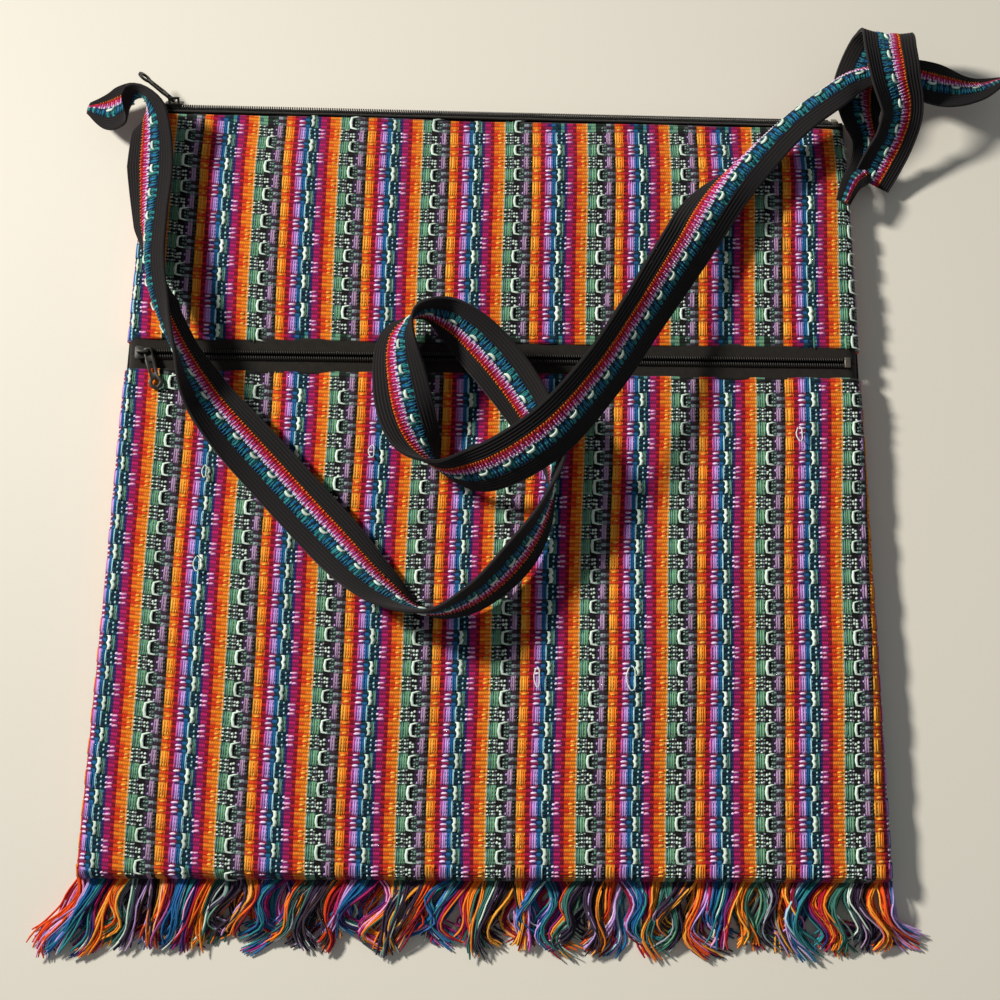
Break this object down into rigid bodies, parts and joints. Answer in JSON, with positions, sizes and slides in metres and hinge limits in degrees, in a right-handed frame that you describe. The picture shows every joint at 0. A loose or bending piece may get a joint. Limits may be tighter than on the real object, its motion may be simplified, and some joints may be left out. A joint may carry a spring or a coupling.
{
  "type": "woven crossbody bag",
  "caption": "Flat striped-cloth crossbody bag lying on its back, with a zipped top, a zipped front pocket, a tied woven shoulder strap and a yarn fringe.",
  "frame": {"origin": "middle of the bag's outline, on the flat underside of the back panel", "axes": "+X to the right across the front, +Y towards the top zip, +Z out of the front"},
  "size_m": [0.4415, 0.4232, 0.0493],
  "materials": {
    "cloth": "handwoven cotton in narrow stripes of many colours",
    "lining": "plain dark cotton",
    "zip_tape": "black woven zip tape",
    "zip_coil": "black nylon coil",
    "zip_metal": "dark enamelled metal",
    "strap": "ribbed black woven band with a coloured middle",
    "fringe": "loose cotton yarn in many colours"
  },
  "bodies": {
    "bag": {"front_upper_panel": "cloth", "front_lower_panel": "cloth", "back_panel": "cloth", "pocket_lining": "lining", "front_zip_tape_upper": "zip_tape", "front_zip_tape_lower": "zip_tape", "front_zip_coil_upper": "zip_coil", "front_zip_coil_lower": "zip_coil", "front_zip_end_stop": "zip_metal", "top_zip_tape_front": "zip_tape", "top_zip_tape_back": "zip_tape", "top_zip_coil_front": "zip_coil", "top_zip_coil_back": "zip_coil", "top_zip_end_stop": "zip_metal", "shoulder_strap": "strap", "tie_strap": "strap", "front_fringe": "fringe", "back_fringe": "fringe"},
    "front_slider": {"front_zip_slider": "zip_metal"},
    "front_pull": {"front_zip_pull": "zip_metal"},
    "top_slider": {"top_zip_slider": "zip_metal"},
    "top_pull": {"top_zip_pull": "zip_metal"}
  },
  "joints": [
    {"name": "front_slider_travel", "type": "slide", "parent": "bag", "child": "front_slider", "axis": [0.9999, -0.0138, 0], "range_m": [0, 0.3195]},
    {"name": "front_pull_swing", "type": "hinge", "parent": "front_slider", "child": "front_pull", "pos_m": [-0.15752, 0.06065, 0.01535], "axis": [0, 0, 1], "range_deg": [-30, 140]},
    {"name": "top_slider_travel", "type": "slide", "parent": "bag", "child": "top_slider", "axis": [0.9997, -0.0252, 0], "range_m": [0, 0.3]},
    {"name": "top_pull_swing", "type": "hinge", "parent": "top_slider", "child": "top_pull", "pos_m": [-0.1526, 0.18762, 0.00752], "axis": [0.0162, 0.6426, -0.766], "range_deg": [0, 100]}
  ]
}
